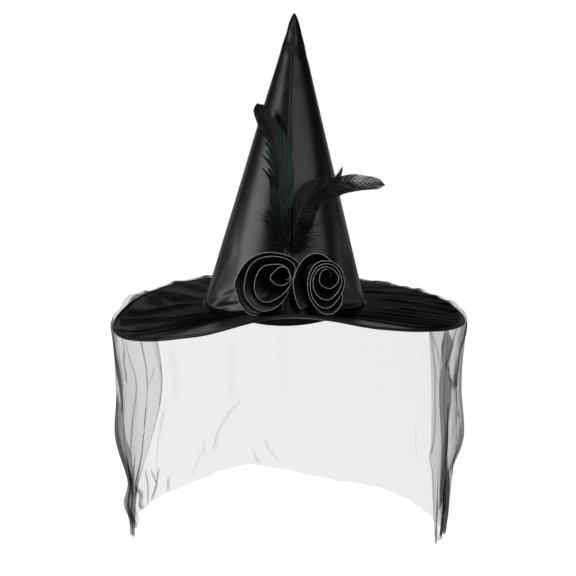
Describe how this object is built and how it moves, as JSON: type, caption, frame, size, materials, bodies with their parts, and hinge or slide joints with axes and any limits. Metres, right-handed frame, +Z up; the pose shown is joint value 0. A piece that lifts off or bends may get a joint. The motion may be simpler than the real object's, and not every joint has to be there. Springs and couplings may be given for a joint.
{
  "type": "veiled witch hat",
  "caption": "Tall satin cone hat with a wavy wired brim, a gathered tulle veil round the sides and back, ribbon roses and rooster feathers",
  "frame": {"origin": "centre of the head opening, on the plane of the crown's base, where a head holds the hat", "axes": "+X is the wearer's left, -Y is the front with the roses, +Z is up through the crown"},
  "size_m": [0.4055, 0.4027, 0.6042],
  "materials": {
    "satin": "black polyester satin, soft gloss",
    "band_cloth": "black matt band",
    "tulle": "black tulle, see-through net",
    "ribbon": "black satin ribbon with a fine woven edge",
    "feather": "black rooster feather with a green sheen"
  },
  "bodies": {
    "root": {"crown": "satin", "brim": "satin", "inner_band": "band_cloth", "brim_tulle": "tulle", "veil": "tulle", "left_rose": "ribbon", "right_rose": "ribbon", "left_feather": "feather", "right_feather": "feather"}
  },
  "joints": []
}
